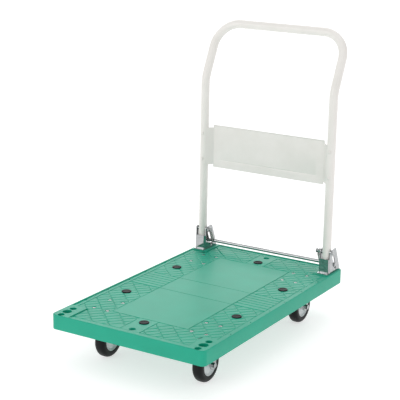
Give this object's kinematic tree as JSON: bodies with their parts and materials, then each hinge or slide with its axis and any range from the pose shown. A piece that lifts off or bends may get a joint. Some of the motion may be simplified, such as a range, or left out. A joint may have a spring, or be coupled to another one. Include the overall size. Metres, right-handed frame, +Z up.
{
  "type": "folding platform truck",
  "caption": "Flat platform truck with a moulded resin deck, fixed and swivel casters, and a bent tube handle that folds down over the deck.",
  "frame": {"origin": "on the floor, at the middle of the whole truck's outline seen from above", "axes": "+X to the right, +Y towards the handle, +Z up"},
  "size_m": [0.48, 0.8202, 0.86],
  "materials": {
    "green_resin": "satin moulded resin with a fine grain",
    "pad_rubber": "matt black rubber",
    "tyre_rubber": "smooth black rubber",
    "wheel_resin": "light grey moulded plastic",
    "white_paint": "baked off-white paint, half gloss",
    "zinc_plate": "bright zinc plating",
    "spring_wire": "drawn spring wire",
    "ball_steel": "ground and polished steel",
    "plug_plastic": "black moulded plastic"
  },
  "bodies": {
    "deck": {"deck_moulding": "green_resin", "anti_slip_pads": "pad_rubber", "caster_bolts": "zinc_plate", "caster_nuts": "zinc_plate", "front_fork_left": "zinc_plate", "front_fork_right": "zinc_plate", "front_sleeve_left": "zinc_plate", "front_sleeve_right": "zinc_plate", "front_axle_left": "zinc_plate", "front_axle_right": "zinc_plate", "front_axle_nuts": "zinc_plate", "rear_plate_left": "zinc_plate", "rear_plate_right": "zinc_plate", "rear_kingpin_left": "zinc_plate", "rear_kingpin_right": "zinc_plate", "bracket_left": "zinc_plate", "bracket_right": "zinc_plate", "bracket_bolts": "zinc_plate", "bracket_nuts": "zinc_plate", "pivot_bolts": "zinc_plate", "pivot_nuts": "zinc_plate", "spring_clips": "zinc_plate", "release_spring_left": "spring_wire", "release_spring_right": "spring_wire"},
    "handle": {"handle_tube": "white_paint", "pivot_sleeves": "zinc_plate", "tube_plugs": "plug_plastic", "handle_panel": "white_paint", "panel_rivets": "white_paint"},
    "release_bar": {"release_bar": "zinc_plate", "bar_clips": "zinc_plate"},
    "front_wheel_left": {"front_rim_left": "wheel_resin", "front_tyre_left": "tyre_rubber"},
    "swivel_left": {"rear_fork_left": "zinc_plate", "rear_balls_left": "ball_steel", "rear_sleeve_left": "zinc_plate", "rear_axle_left": "zinc_plate", "rear_axle_nut_left": "zinc_plate"},
    "rear_wheel_left": {"rear_rim_left": "wheel_resin", "rear_tyre_left": "tyre_rubber"},
    "front_wheel_right": {"front_rim_right": "wheel_resin", "front_tyre_right": "tyre_rubber"},
    "swivel_right": {"rear_fork_right": "zinc_plate", "rear_balls_right": "ball_steel", "rear_sleeve_right": "zinc_plate", "rear_axle_right": "zinc_plate", "rear_axle_nut_right": "zinc_plate"},
    "rear_wheel_right": {"rear_rim_right": "wheel_resin", "rear_tyre_right": "tyre_rubber"}
  },
  "joints": [
    {"name": "handle_fold", "type": "hinge", "parent": "deck", "child": "handle", "pos_m": [0, 0.32, 0.213], "axis": [1, 0, 0], "range_deg": [0, 95.5]},
    {"name": "release_bar_slide", "type": "slide", "parent": "deck", "child": "release_bar", "axis": [0, 0.3907, -0.9205], "range_m": [0, 0.014], "stiffness_N_per_m": 800, "springref_m": -0.02, "deforming": ["release_spring_left", "release_spring_right"]},
    {"name": "swivel_turn_left", "type": "hinge", "parent": "deck", "child": "swivel_left", "pos_m": [-0.156, 0.232, 0.11], "axis": [0, 0, 1], "continuous": true},
    {"name": "swivel_turn_right", "type": "hinge", "parent": "deck", "child": "swivel_right", "pos_m": [0.156, 0.232, 0.11], "axis": [0, 0, 1], "continuous": true},
    {"name": "front_wheel_spin_left", "type": "hinge", "parent": "deck", "child": "front_wheel_left", "pos_m": [-0.156, -0.264, 0.05], "axis": [1, 0, 0], "continuous": true},
    {"name": "front_wheel_spin_right", "type": "hinge", "parent": "deck", "child": "front_wheel_right", "pos_m": [0.156, -0.264, 0.05], "axis": [1, 0, 0], "continuous": true},
    {"name": "rear_wheel_spin_left", "type": "hinge", "parent": "swivel_left", "child": "rear_wheel_left", "pos_m": [-0.156, 0.269, 0.05], "axis": [1, 0, 0], "continuous": true},
    {"name": "rear_wheel_spin_right", "type": "hinge", "parent": "swivel_right", "child": "rear_wheel_right", "pos_m": [0.156, 0.269, 0.05], "axis": [1, 0, 0], "continuous": true}
  ]
}
